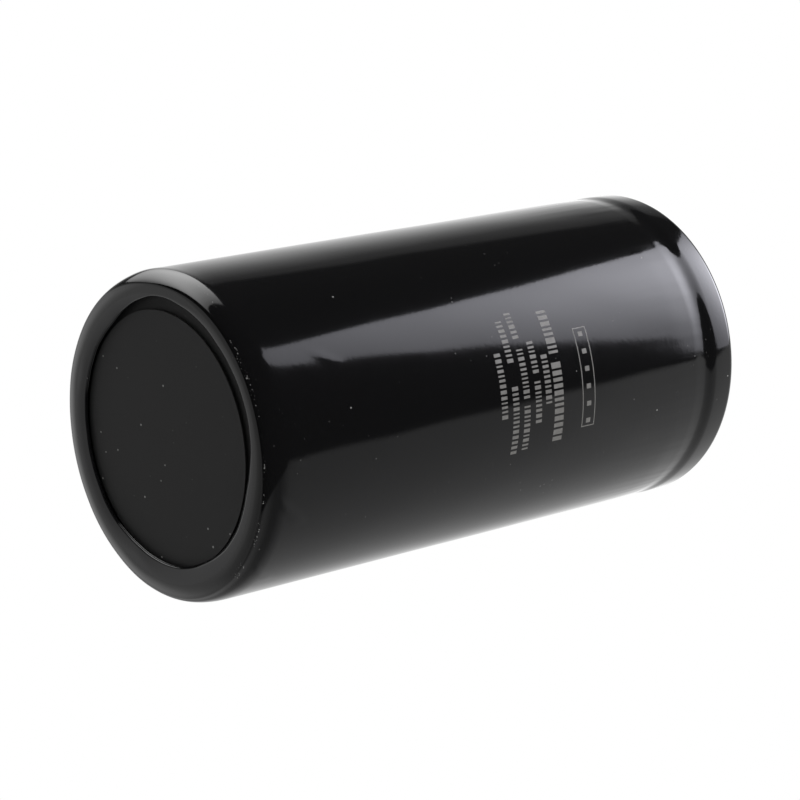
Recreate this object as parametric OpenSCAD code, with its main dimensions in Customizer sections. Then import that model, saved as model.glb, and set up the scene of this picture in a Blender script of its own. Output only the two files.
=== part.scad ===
// Large electrolytic capacitor with screw terminals, in a round can under a shrunk sleeve.
// It stands on its closed end. Z runs up the axis, the terminals lie along X, and the side
// with the rating faces -Y. All sizes are in millimetres.

/* [Body] */
// Diameter over the sleeve
body_d = 76.5; // [74:0.5:90]
// Height from the standing ring to the top of the rim
body_h = 148; // [110:1:220]

/* [Sleeve] */
// Thickness of the shrunk film
sleeve_wall = 0.4; // [0.2:0.05:0.6]
// Clearance between the film and what it covers
film_gap = 0.05; // [0.02:0.01:0.1]
// How far the film folds in under the closed end
base_lap = 6.35; // [5.4:0.05:7]
// Width of the flat of the standing ring
ring_flat = 1; // [0.6:0.1:1.4]
// How far the edge of the fold curls up from the standing ring
lap_rise = 1.2; // [0.8:0.05:1.3]
// How deep the film sinks over the groove below the rim
film_dip = 0.08; // [0.05:0.01:0.12]
// Height over which it sinks
dip_run = 3.4; // [3:0.1:4]
// Height over which it comes out again to the rim
dip_return = 5.4; // [4.8:0.1:6]
// How far below the middle of the groove it is deepest
dip_drop = 2.2; // [1.8:0.1:2.6]
// How far the film is tucked down inside the rim
top_tuck = 0.4; // [0.1:0.05:0.5]

/* [Can] */
// Thickness of the drawn wall
can_wall = 0.8; // [0.5:0.05:0.9]
// Thickness of the floor
can_floor = 1.2; // [1:0.1:2]
// Width of the corner at the closed end
corner_w = 3.9; // [3.2:0.1:4.6]
// Height of that corner
corner_h = 6.5; // [5:0.1:9]
// Squareness of the corner, where 2 is an ellipse
corner_power = 2.5; // [2:0.1:3]
// How far the floor is set in from the standing ring
floor_inset = 2.2; // [2.1:0.05:3]
// Width of the slope between the standing ring and the floor
floor_slope_w = 0.5; // [0.3:0.05:0.7]
// Distance from the top of the rim down to the middle of the rolled groove
groove_drop = 8.8; // [8.4:0.1:10]
// Depth of the groove
groove_depth = 2.2; // [1.6:0.1:2.6]
// Height of the lower flank of the groove
groove_lead = 5; // [4.8:0.1:5.6]
// Height of its upper flank, which carries the deck
groove_flank = 3.4; // [3.2:0.1:3.8]
// How far the rim stands out past the body
rim_proud = 0.2; // [0:0.05:0.4]
// Radius of the rolled rim over the film
rim_round = 2; // [1.8:0.05:2.3]

/* [Base disc] */
// Thickness of the edge that the fold of the sleeve traps
disc_edge_t = 0.5; // [0.3:0.05:0.6]
// Thickness of the raised middle
disc_t = 1.1; // [0.8:0.05:1.5]
// Space between the edge of the fold and the raised middle
disc_margin = 2.45; // [1.5:0.05:4]
// Clearance round the disc
disc_gap = 0.2; // [0.1:0.05:0.5]

/* [Deck] */
// How far the top of the deck lies below the rim
deck_drop = 2.1; // [1.8:0.1:2.6]
// Thickness of the deck at the terminals
deck_t = 10.5; // [9.5:0.1:12]
// Thickness of the web between the ribs
deck_web = 4; // [3:0.1:6]
// Thickness of the skirt
skirt_t = 2.4; // [1.6:0.1:3.5]
// Thickness of the ribs under the deck
rib_t = 1.6; // [1:0.1:2.4]
// Number of ribs under the deck
rib_count = 12; // [6:1:18]
// Clearance between the deck and the can
deck_gap = 0.1; // [0.05:0.05:0.3]
// Height of the rubber ring under the rolled rim
seal_h = 1.6; // [1.2:0.1:2]
// Clearance between the rubber ring and the deck
seal_gap = 0.15; // [0.05:0.05:0.3]
// Height of the collar round each terminal
boss_h = 1; // [0.5:0.1:2]
// Diameter of that collar
boss_d = 19; // [17.6:0.1:24]

/* [Vent] */
// Distance of the vent plug from the axis
vent_y = 21; // [16:0.5:24]
// Diameter of the plug's neck
vent_neck_d = 5.6; // [4:0.1:7]
// Diameter of the plug's head
vent_head_d = 8.4; // [7.6:0.1:10]
// Height of the head over the floor of its well
vent_head_h = 1.2; // [0.8:0.1:1.5]
// Clearance between the plug's neck and its hole
vent_gap = 0.05; // [0.02:0.01:0.1]

/* [Terminals] */
// Distance between the two terminals
terminal_pitch = 31.8; // [28:0.1:36]
// Height of the terminals over the rim
terminal_rise = 3.4; // [2:0.1:8]
// Diameter of the contact face
pad_d = 13; // [11:0.1:16]
// Drill diameter of the M5 thread
thread_d = 4.2; // [3.5:0.1:6]
// Depth of the thread
thread_depth = 10; // [6:0.5:11]
// Width across the flats of the anchor in the deck
anchor_af = 14.5; // [12:0.1:15]
// Height of the anchor
anchor_h = 3; // [2:0.1:4]
// Diameter of the shank below the anchor
shank_d = 10; // [8:0.1:11]
// Diameter of the rivet end
rivet_d = 6; // [4:0.1:6.5]
// Diameter of the spread head of the rivet
rivet_head_d = 8.6; // [7.5:0.1:10]
// Height of the spread head
rivet_head_h = 0.9; // [0.6:0.1:1.5]
// Clearance between the terminals and the deck moulded round them
insert_gap = 0.03; // [0.02:0.01:0.1]
// Diameter of the washer under the tabs
washer_d = 12; // [11:0.1:14]
// Thickness of the washer
washer_t = 1; // [0.6:0.1:1.5]
// Clearance of the tabs and the washer round the rivet
rivet_gap = 0.1; // [0.05:0.05:0.3]

/* [Winding] */
// Space between the roll and the deck
roll_space = 10; // [9:0.5:40]
// Clearance between the roll and the can
roll_gap = 1.8; // [1:0.1:4]
// Diameter of the hole left by the mandrel
core_d = 8; // [5:0.5:10]
// Radial step between the turns that stand up on the end faces
turn_pitch = 1.6; // [1:0.1:4]
// Height of those turns
turn_h = 0.5; // [0.2:0.1:1]
// Thickness of the tape round the roll
tape_t = 0.2; // [0.1:0.05:0.4]
// Width of the tape
tape_w = 50; // [20:1:70]

/* [Tabs] */
// Width of the tabs
tab_w = 9; // [8:0.5:12]
// Thickness of the tabs
tab_t = 0.25; // [0.15:0.05:0.35]
// Clearance between stacked tabs and in the roll
tab_gap = 0.05; // [0.02:0.01:0.1]
// Inside radius of the bend
tab_bend = 1.5; // [1:0.1:2]
// How deep the tabs go into the roll
tab_depth = 14; // [8:1:30]
// Distance from the axis of the tab that comes up inside the terminal
inner_tab_x = 7; // [6.5:0.1:7.5]
// Distance from the axis of the first tab that comes up outside the terminal
outer_tab_x = 23.4; // [23:0.1:24]
// Distance from one outer tab to the next
outer_tab_step = 3.4; // [2.6:0.1:3.6]

/* [Hidden] */
$fn = 96;

// Steps of a quarter turn, and a little more than nothing for cuts that pass a face
steps = 10;
cut = 0.5;

// The skin that the outside of the sleeve follows, and the layer that the can lies under
body_r = body_d / 2;
rim_r = body_r + rim_proud;
can_depth = sleeve_wall + film_gap;
can_r = body_r - can_depth;
can_rim_r = rim_r - can_depth;
lap_r = body_r - base_lap;
crest_r = body_r - corner_w;
ring_r = crest_r - ring_flat;
rim_z = body_h - rim_round;

// The floor of the can, inside the slope from the ring
floor_r = ring_r - floor_slope_w;

// The groove under the rim
groove_z = body_h - groove_drop;
dip_z = groove_z - dip_drop;
groove_rise = groove_depth + rim_proud;
groove_nose_r = can_r - groove_depth - can_wall;

// The middle of the upper flank inside the can, which carries the deck, and its slope there
flank_slope = groove_rise * PI / (2 * groove_flank);
flank_normal = [-1, flank_slope] / norm([1, flank_slope]);
flank_mid = [can_r - groove_depth + groove_rise / 2, groove_z + groove_flank / 2];
seat_mid = flank_mid + (can_wall + deck_gap) * flank_normal;

// Levels and radii of the deck and the rubber ring
deck_top = body_h - deck_drop;
deck_bottom = deck_top - deck_t;
deck_r = can_rim_r - can_wall - deck_gap;
skirt_r = groove_nose_r - deck_gap;
curl_r = rim_round - can_depth;
curl_leg_r = can_rim_r - 2 * curl_r;
curl_leg = 0.8;
seal_top = rim_z - curl_leg;
seal_bottom = seal_top - seal_h;
land_margin = 1;
land_r = curl_leg_r - land_margin;
seat_half = 0.5;
seat_low = seat_mid - seat_half * [1, 1 / flank_slope];
seat_rise = 0.4;
seat_edge_z = groove_z + groove_flank + seat_rise;
web_bottom = deck_top - deck_web;
boss_r = boss_d / 2;
hub_r = 8;

// The well of the vent plug, the web that its neck passes, and the barb below the web
well_depth = 1.5;
well_gap = 0.5;
vent_web = 2.2;
barb_h = 2.2;
barb_flat = 0.4;
barb_step = 0.7;
barb_taper = 1.5;
head_round = 0.5;

// Levels of the terminals, and of what is riveted under them
terminal_x = terminal_pitch / 2;
terminal_top = body_h + terminal_rise;
thread_floor = 1;
anchor_z = terminal_top - thread_depth - thread_floor;
tab_level = tab_t + tab_gap;
outer_tabs = 3;
tabs = outer_tabs + 1;
washer_z = deck_bottom - tabs * tab_level - tab_gap - washer_t;
eye_reach = 6;

// The roll stands on the floor of the can and ends below the deck
floor_top = floor_inset + can_floor;
roll_h = deck_bottom - roll_space - floor_top;
roll_r = can_r - can_wall - roll_gap;
roll_top = floor_top + roll_h;
roll_edge = 1;
turn_count = floor((roll_r - core_d / 2 - roll_edge) / turn_pitch);
tape_z = floor_top + (roll_h - tape_w) / 2;
slot_t = tab_t + 2 * tab_gap;

// A value that runs from 0 to 1 along a smooth S as t does
function ease(t) = (1 - cos(180 * t)) / 2;

// Points of an arc round [x, y], from angle a to angle b
function arc(x, y, r, a, b) =
    [for (i = [0:steps]) let (w = a + (b - a) * i / steps) [x + r * cos(w), y + r * sin(w)]];

// An S-shaped run from point p to point q that starts and ends along Z
function s_run(p, q) =
    [for (i = [0:steps]) let (t = i / steps) [p.x + (q.x - p.x) * ease(t), p.y + (q.y - p.y) * t]];

// A slope from point p down to point q that levels out at q
function level_out(p, q) =
    [for (i = [0:steps]) let (t = i / steps) [p.x + (q.x - p.x) * t, q.y + (p.y - q.y) * pow(1 - t, 2)]];

// The corner at the closed end: a quarter of a superellipse, from the ring up to the side
function corner() =
    [for (i = [0:steps]) let (u = 90 * i / steps)
        [crest_r + corner_w * pow(sin(u), 2 / corner_power),
         corner_h * (1 - pow(cos(u), 2 / corner_power))]];

// A path moved by d to its left, square to the line through each point's neighbours
function beside(path, d) =
    let (last = len(path) - 1)
    [for (i = [0:last]) let (t = path[min(i + 1, last)] - path[max(i - 1, 0)])
        path[i] + d * [-t.y, t.x] / norm(t)];

function backwards(path) = [for (i = [len(path) - 1:-1:0]) path[i]];

// The outline of a sheet of even thickness that lies on the left of a path
function sheet(path, t) = concat(path, backwards(beside(path, t)));

// The turned-over rim, as an arc that ends in a leg
function rolled_rim(r, leg) =
    concat(arc(rim_r - rim_round, rim_z, r, 0, 180), [[rim_r - rim_round - r, rim_z - leg]]);

// The outside of the sleeve from the edge of its fold to its tuck inside the rim
sleeve_path = concat(
    level_out([lap_r, lap_rise], [ring_r, 0]),
    corner(),
    s_run([body_r, dip_z - dip_run], [body_r - film_dip, dip_z]),
    [for (i = [1:steps]) s_run([body_r - film_dip, dip_z], [rim_r, dip_z + dip_return])[i]],
    rolled_rim(rim_round, top_tuck));

// The outside of the can from its standing ring to the edge of its rolled rim
can_skin = concat(
    beside(corner(), can_depth),
    s_run([can_r, groove_z - groove_lead], [can_r - groove_depth, groove_z]),
    [for (i = [1:steps])
        s_run([can_r - groove_depth, groove_z], [can_rim_r, groove_z + groove_flank])[i]],
    rolled_rim(curl_r, curl_leg));

// The inside of its wall above the floor, which is thicker where it meets the ring
can_lining = [for (p = beside(can_skin, can_wall)) if (p.y > floor_top) p];

module insulating_sleeve() {
    color("#17171a") rotate_extrude() polygon(sheet(sleeve_path, sleeve_wall));
}

// The disc lies on the floor of the can. Its thin edge is held by the fold of the sleeve.
module base_disc() {
    color("#2e2e31") translate([0, 0, floor_inset]) mirror([0, 0, 1]) {
        cylinder(r = floor_r - disc_gap, h = disc_edge_t);
        cylinder(r = lap_r - disc_margin, h = disc_t);
    }
}

module can() {
    color("silver") rotate_extrude() polygon(concat(
        [[0, floor_inset]],
        level_out([floor_r, floor_inset], [ring_r, can_depth]),
        can_skin,
        backwards(can_lining),
        [[can_lining[0].x, floor_top], [0, floor_top]]));
}

// Half the section of the moulded deck: web, skirt, and the flange that rests on the groove
module deck_section() {
    polygon([
        [0, deck_top], [0, web_bottom], [skirt_r - skirt_t, web_bottom],
        [skirt_r - skirt_t, deck_bottom], [skirt_r, deck_bottom], [skirt_r, seat_low.y],
        seat_low, seat_mid, [deck_r, seat_edge_z], [deck_r, seal_bottom],
        [land_r, seal_bottom], [land_r, deck_top]]);
}

// What a terminal takes up in the deck, grown by a clearance
module terminal_body(gap) {
    translate([0, 0, deck_bottom - cut]) cylinder(d = shank_d + 2 * gap, h = deck_t + boss_h + 2 * cut);
    translate([0, 0, anchor_z - gap])
        cylinder(r = (anchor_af / 2 + gap) / cos(30), h = anchor_h + 2 * gap, $fn = 6);
    translate([0, 0, anchor_z + anchor_h])
        cylinder(d = pad_d + 2 * gap, h = terminal_top - anchor_z - anchor_h + cut);
}

module deck() {
    color("#1d1d20") difference() {
        union() {
            rotate_extrude() deck_section();
            for (side = [-1, 1]) translate([side * terminal_x, 0, deck_bottom])
                cylinder(d = boss_d, h = deck_t + boss_h);
            intersection() {
                translate([0, 0, deck_bottom]) cylinder(r = skirt_r - skirt_t + cut, h = deck_t - cut);
                for (i = [0:rib_count - 1]) rotate([0, 0, (i + 0.5) * 360 / rib_count])
                    translate([hub_r, -rib_t / 2, deck_bottom + tabs * tab_level])
                        cube([skirt_r - hub_r, rib_t, deck_t - deck_web]);
            }
            translate([0, vent_y, deck_bottom + deck_web])
                cylinder(d = vent_head_d + 2 * skirt_t, h = deck_t - deck_web - cut);
        }
        for (side = [-1, 1]) translate([side * terminal_x, 0, 0]) terminal_body(insert_gap);
        translate([0, vent_y, deck_top - well_depth])
            cylinder(d = vent_head_d + 2 * well_gap, h = well_depth + cut);
        translate([0, vent_y, deck_bottom]) cylinder(d = vent_neck_d + 2 * vent_gap, h = deck_t);
        translate([0, vent_y, deck_bottom - cut])
            cylinder(d = vent_head_d + 2 * well_gap, h = deck_t - well_depth - vent_web + cut);
    }
}

// The rubber ring lies in the rebate of the deck, and the edge of the rolled rim presses on it
module seal_ring() {
    color("#303033") translate([0, 0, seal_bottom]) difference() {
        cylinder(r = deck_r, h = seal_h);
        translate([0, 0, -cut]) cylinder(r = land_r + seal_gap, h = seal_h + 2 * cut);
    }
}

// A round head in the well, a neck through the web and a barb that holds it from below
module vent_plug() {
    head_z = deck_top - well_depth;
    barb_z = head_z - vent_web;
    neck_r = vent_neck_d / 2;
    barb_r = neck_r + barb_step;
    color("#3a3a3d") translate([0, vent_y, 0]) rotate_extrude() polygon(concat(
        [[0, barb_z - barb_h], [barb_r - barb_taper, barb_z - barb_h], [barb_r, barb_z - barb_flat],
         [barb_r, barb_z], [neck_r, barb_z], [neck_r, head_z], [vent_head_d / 2, head_z]],
        arc(vent_head_d / 2 - head_round, head_z + vent_head_h - head_round, head_round, 0, 90),
        [[0, head_z + vent_head_h]]));
}

// One turned terminal: contact face, hexagonal anchor, shank and riveted end, with a blind thread
module terminal() {
    color("#c9cacc") difference() {
        union() {
            translate([0, 0, anchor_z + anchor_h])
                cylinder(d = pad_d, h = terminal_top - anchor_z - anchor_h);
            translate([0, 0, anchor_z]) cylinder(r = anchor_af / 2 / cos(30), h = anchor_h, $fn = 6);
            translate([0, 0, deck_bottom]) cylinder(d = shank_d, h = anchor_z - deck_bottom);
            translate([0, 0, washer_z]) cylinder(d = rivet_d, h = deck_bottom - washer_z);
            translate([0, 0, washer_z - rivet_head_h])
                cylinder(d1 = rivet_d, d2 = rivet_head_d, h = rivet_head_h);
        }
        translate([0, 0, terminal_top - thread_depth]) cylinder(d = thread_d, h = thread_depth + cut);
    }
}

module positive_terminal() { translate([terminal_x, 0, 0]) terminal(); }
module negative_terminal() { translate([-terminal_x, 0, 0]) terminal(); }

module tab_washer() {
    color("#b9babd") translate([0, 0, washer_z]) difference() {
        cylinder(d = washer_d, h = washer_t);
        translate([0, 0, -cut]) cylinder(d = rivet_d + 2 * rivet_gap, h = washer_t + 2 * cut);
    }
}

module positive_tab_washer() { translate([terminal_x, 0, 0]) tab_washer(); }
module negative_tab_washer() { translate([-terminal_x, 0, 0]) tab_washer(); }

// Where tab i comes up from the roll: 1 to 3 outside the terminal, outermost first, 4 inside it
function tab_x(i) = i > outer_tabs ? inner_tab_x : outer_tab_x + (outer_tabs - i) * outer_tab_step;

// Tab i lies flat under the terminal, bends down and runs into the roll
module tab(i) {
    level = deck_bottom - tab_gap - (i - 1) * tab_level;
    x = tab_x(i);
    way = sign(x - terminal_x);
    bend_r = tab_bend + tab_t;
    path = concat(
        [[terminal_x - way * eye_reach, level]],
        [for (p = arc(0, 0, bend_r, 90, 0)) [x + way * (p.x - bend_r), level - bend_r + p.y]],
        [[x, roll_top - tab_depth]]);
    color("#d5d6d8") difference() {
        rotate([90, 0, 0]) linear_extrude(height = tab_w, center = true)
            polygon(sheet(path, -way * tab_t));
        translate([terminal_x, 0, level - tab_level])
            cylinder(d = rivet_d + 2 * rivet_gap, h = 2 * tab_level);
    }
}

module anode_tab_1() { tab(1); }
module anode_tab_2() { tab(2); }
module anode_tab_3() { tab(3); }
module anode_tab_4() { tab(4); }
module cathode_tab_1() { mirror([1, 0, 0]) tab(1); }
module cathode_tab_2() { mirror([1, 0, 0]) tab(2); }
module cathode_tab_3() { mirror([1, 0, 0]) tab(3); }
module cathode_tab_4() { mirror([1, 0, 0]) tab(4); }

// Foil and paper in one roll. Groups of turns stand up as shallow teeth on both end faces.
module winding() {
    core_r = core_d / 2;
    teeth = concat(
        [for (i = [0:turn_count - 1], h = [0, 1]) [core_r + (i + h / 2) * turn_pitch, h * turn_h]],
        [[core_r + turn_count * turn_pitch, 0], [roll_r, 0]]);
    color("#cfc9b8") difference() {
        rotate_extrude() polygon(concat(
            [for (p = teeth) [p.x, roll_top - turn_h + p.y]],
            [for (p = backwards(teeth)) [p.x, floor_top + turn_h - p.y]]));
        for (side = [-1, 1], i = [1:tabs]) {
            x = tab_x(i) + (i > outer_tabs ? tab_t / 2 : -tab_t / 2);
            translate([side * x - slot_t / 2, -tab_w / 2 - tab_gap, roll_top - tab_depth - tab_gap])
                cube([slot_t, tab_w + 2 * tab_gap, tab_depth + cut]);
        }
    }
}

module winding_tape() {
    color("#d8b56a") translate([0, 0, tape_z]) difference() {
        cylinder(r = roll_r + film_gap + tape_t, h = tape_w);
        translate([0, 0, -cut]) cylinder(r = roll_r + film_gap, h = tape_w + 2 * cut);
    }
}

insulating_sleeve();
base_disc();
can();
deck();
seal_ring();
vent_plug();
positive_terminal();
negative_terminal();
positive_tab_washer();
negative_tab_washer();
anode_tab_1();
anode_tab_2();
anode_tab_3();
anode_tab_4();
cathode_tab_1();
cathode_tab_2();
cathode_tab_3();
cathode_tab_4();
winding();
winding_tape();
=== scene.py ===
"""The looks of a large electrolytic capacitor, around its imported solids.

The part stands on its closed end with its axis on Z. The print on its sleeve faces -Y, and its
two terminals stand on top, along X. The file is laid out as an add-on: sizes and colours are
properties, each piece has an operator, and a panel lists them. Lengths are in metres, and MM
turns a number in millimetres into one.
"""

import math

import bpy
import numpy as np
from bpy.props import FloatProperty, FloatVectorProperty, IntProperty, PointerProperty
from mathutils import Matrix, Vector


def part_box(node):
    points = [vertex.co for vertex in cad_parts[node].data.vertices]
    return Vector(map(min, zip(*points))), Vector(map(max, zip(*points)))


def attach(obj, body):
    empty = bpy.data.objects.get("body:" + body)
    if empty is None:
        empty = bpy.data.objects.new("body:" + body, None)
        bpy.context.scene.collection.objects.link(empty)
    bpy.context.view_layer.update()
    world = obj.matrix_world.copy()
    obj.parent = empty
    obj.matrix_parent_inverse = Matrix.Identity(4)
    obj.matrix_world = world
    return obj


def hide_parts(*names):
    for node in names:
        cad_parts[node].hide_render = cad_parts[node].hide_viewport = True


bl_info = {
    "name": "Electrolytic capacitor",
    "version": (1, 0, 0),
    "blender": (4, 5, 0),
    "location": "3D View > Sidebar > Capacitor",
    "description": "Shrunk sleeve, rating print, closure and stage of a large capacitor",
    "category": "Object",
}

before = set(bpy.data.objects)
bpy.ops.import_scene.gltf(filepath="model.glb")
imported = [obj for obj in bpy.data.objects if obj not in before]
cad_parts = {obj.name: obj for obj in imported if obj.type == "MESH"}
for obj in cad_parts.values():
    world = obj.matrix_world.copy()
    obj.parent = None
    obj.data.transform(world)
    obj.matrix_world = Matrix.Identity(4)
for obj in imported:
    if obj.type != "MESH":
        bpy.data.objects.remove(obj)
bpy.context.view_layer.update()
MM = 0.001
ROOT = "root"


# Sizes and colours


def length(name, description, millimetres):
    """A property that holds a length, with its default given in millimetres."""
    return FloatProperty(name=name, description=description, default=millimetres * MM,
                         min=0.0, precision=5, unit="LENGTH")


def bearing(name, description, degrees):
    """A property that holds an angle round the axis, with its default given in degrees."""
    return FloatProperty(name=name, description=description, default=math.radians(degrees),
                         unit="ROTATION")


def share(name, description, value):
    """A property between 0 and 1."""
    return FloatProperty(name=name, description=description, default=value,
                         min=0.0, max=1.0, subtype="FACTOR")


def colour(name, description, rgb):
    """A property that holds a colour, as linear red, green and blue."""
    return FloatVectorProperty(name=name, description=description, default=rgb,
                               min=0.0, max=1.0, size=3, subtype="COLOR")


def group(kind, name, description):
    """A property that holds a group of properties."""
    return PointerProperty(type=kind, name=name, description=description)


def top_of(node):
    """The highest point of a CAD node, in millimetres."""
    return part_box(node)[1][2] / MM


class SleeveSettings(bpy.types.PropertyGroup):
    rim_r: length("Rim radius", "Radius over the rolled rim",
                  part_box("insulating_sleeve")[1][0] / MM)
    top: length("Top", "Height of the top of the rim", top_of("insulating_sleeve"))
    body_r: length("Body radius", "Radius over the straight side", 38.25)
    wall: length("Film", "Thickness of the shrunk film", 0.4)
    fold_r: length("Fold radius", "Radius of the edge of the fold under the base", 30.4)
    fold_rise: length("Fold rise", "How far that edge curls up at its highest", 0.25)
    fold_shift: length("Fold shift", "How far the fold lies off the axis", 1.0)
    short: length("Short side", "How much less the fold reaches where it is narrow", 2.3)
    short_at: bearing("Short middle", "Where the fold is narrow", -135)
    flap: length("Flap", "How much further the fold reaches where it is widest", 1.3)
    flap_at: bearing("Flap middle", "Where the fold is widest", 5)
    ring_at: share("Ring", "Where the film stands, from the fold's edge to the crest", 0.6)
    crest_r: length("Crest radius", "Radius where the ring turns into the corner", 36.4)
    sag: length("Sag", "How much smaller that radius is where the corner sags", 1.5)
    sag_at: bearing("Sag middle", "Where the corner sags", -174)
    sag_wide: bearing("Sag width", "How far round the body that sag fades", 24)
    crest_z: length("Crest height", "How far the ring rises to there", 0.35)
    corner_h: length("Corner height", "Height of the rounded corner at the closed end", 6.5)
    corner_power: FloatProperty(name="Corner power", default=2.0, min=1.5, max=4.0,
                                description="Squareness of that corner, where 2 is an ellipse")
    dip: length("Dip", "How deep the film sinks over the groove", 0.08)
    dip_z: length("Dip level", "Height where that dip is deepest", 137.25)
    dip_lean: length("Dip lean", "Half of what the dip's height gains at the far side", 0.45)
    dip_low_at: bearing("Dip low side", "Where the dip lies lowest", -70)
    dip_run: length("Dip run", "Height over which it sinks", 3.4)
    dip_return: length("Dip return", "Height over which it comes out to the rim", 4.2)
    rim_round: length("Rim round", "Radius of the rolled rim", 2.0)
    tuck: length("Tuck", "How far the film goes down inside the rim", 0.4)
    wave: length("Wave", "Height of the slow waves that the shrunk film keeps", 0.055)
    ripple: length("Ripple", "Height of the fine ripples beside the groove", 0.010)
    film: colour("Film", "Colour of the film", (0.0042, 0.0042, 0.0046))
    dust: colour("Dust", "Colour of dust and scuffs", (0.5, 0.5, 0.49))
    gloss: share("Roughness", "Roughness of the clean film", 0.08)


class PrintSettings(bpy.types.PropertyGroup):
    ink: colour("Ink", "Colour of the print", (0.195, 0.19, 0.182))
    lift: length("Lift", "How far the print stands over the film", 0.02)
    row_h: length("Row height", "Height of a plain row of marks", 1.9)
    gap: length("Gap", "Space between two marks of a row", 0.55)
    seed: IntProperty(name="Seed", default=11, min=0,
                      description="Start of the series that sets the widths of the marks")


class BaseSettings(bpy.types.PropertyGroup):
    board: colour("Board", "Colour of the disc at the closed end", (0.0080, 0.0079, 0.0080))
    rough: share("Roughness", "Roughness of that disc", 0.62)
    sheen: share("Sheen", "How strongly that disc mirrors, where 0.5 is plain plastic", 0.35)


class ClosureSettings(bpy.types.PropertyGroup):
    moulding: colour("Moulding", "Colour of the moulded deck", (0.016, 0.015, 0.014))
    rubber: colour("Rubber", "Colour of the ring and the plug", (0.028, 0.028, 0.029))
    alloy: colour("Alloy", "Colour of the bare aluminium", (0.80, 0.805, 0.815))
    mark: length("Mark", "Size of the plus and minus marks", 5.0)
    mark_bar: length("Mark bar", "Width of the bars of those marks", 1.1)
    mark_h: length("Mark height", "How far the marks stand over the deck", 0.4)
    mark_y: length("Mark distance", "Distance of the marks from the line of the terminals", 14.2)
    boss_h: length("Boss height", "How far the bosses stand over the deck", 1.0)


class TerminalSettings(bpy.types.PropertyGroup):
    x: length("Offset", "Distance of each terminal from the axis",
              (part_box("positive_terminal")[0][0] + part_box("positive_terminal")[1][0]) / 2 / MM)
    top: length("Top", "Height of the contact faces", top_of("positive_terminal"))
    pad_r: length("Pad radius", "Radius of the contact face", 6.5)
    chamfer: length("Chamfer", "Bevel round the contact face", 0.3)
    core_r: length("Core radius", "Radius of the thread's crests", 2.1)
    thread: length("Thread", "Depth of the thread", 0.36)
    pitch: length("Pitch", "Rise of the thread in one turn", 0.8)
    depth: length("Hole", "Depth of the hole", 10.0)
    anchor_top: length("Anchor top", "Height of the top of the hexagon", 143.4)
    anchor_h: length("Anchor", "Height of the hexagon", 3.0)
    anchor_af: length("Flats", "Width across the flats of the hexagon", 14.5)
    shank_r: length("Shank", "Radius of the shank below the hexagon", 5.0)
    shank_z: length("Shank end", "Height of the lower end of the shank", 135.4)
    rivet_r: length("Rivet", "Radius of the riveted end", 3.0)
    head_r: length("Rivet head", "Radius of the spread head", 4.3)
    head_h: length("Rivet head height", "Height of the spread head", 0.9)


class StageSettings(bpy.types.PropertyGroup):
    floor: colour("Floor", "Colour of the floor", (0.86, 0.86, 0.85))
    floor_r: length("Floor size", "Radius of the floor", 2400.0)
    opening: length("Opening", "Radius of the opening in the floor under the part", 33.3)
    hair: length("Hair", "How far the floor lies below the part", 0.02)
    level: FloatProperty(name="Level", default=0.82, min=0.0,
                         description="Plain light that falls on the object from all sides")
    key: FloatProperty(name="Key", default=5.0, min=0.0, description="Power of the soft lamp")
    lens: FloatProperty(name="Lens", default=127.236, min=1.0, subtype="DISTANCE_CAMERA",
                        description="Focal length in millimetres")


class CapacitorSettings(bpy.types.PropertyGroup):
    sleeve: group(SleeveSettings, "Sleeve", "The shrunk sleeve")
    rating: group(PrintSettings, "Print", "The rating print")
    base: group(BaseSettings, "Base", "The closed end")
    closure: group(ClosureSettings, "Closure", "The deck")
    terminal: group(TerminalSettings, "Terminals", "The two terminals")
    stage: group(StageSettings, "Stage", "Floor, light and camera")


def settings():
    return bpy.context.scene.capacitor


# Node trees


class Wire:
    """An output socket. An operator on it adds the Math node that works it out."""

    def __init__(self, shop, socket):
        self.shop, self.socket = shop, socket

    def maths(self, operation, *values):
        return self.shop.node("Math", {"operation": operation}, dict(enumerate(values)))

    def __abs__(self):
        return self.maths("ABSOLUTE", self)

    def over(self, other):
        """The larger of the two."""
        return self.maths("MAXIMUM", self, other)

    def exp(self):
        return self.maths("EXPONENT", self)

    def step(self, low, high):
        """0 below low and 1 above high, with a smooth run between; low may be the larger."""
        start, end = sorted((low, high))
        run = self.shop.node("MapRange", {"interpolation_type": "SMOOTHSTEP"},
                             {"Value": self, "From Min": start, "From Max": end})
        return 1.0 - run if low > high else run


def add_operators():
    """Gives Wire the signs + - * / and **, with a Wire or a number on either side."""
    for name, operation in (("add", "ADD"), ("sub", "SUBTRACT"), ("mul", "MULTIPLY"),
                            ("truediv", "DIVIDE"), ("pow", "POWER")):
        setattr(Wire, f"__{name}__", lambda self, other, o=operation: self.maths(o, self, other))
        setattr(Wire, f"__r{name}__", lambda self, other, o=operation: self.maths(o, other, self))


add_operators()


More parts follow.
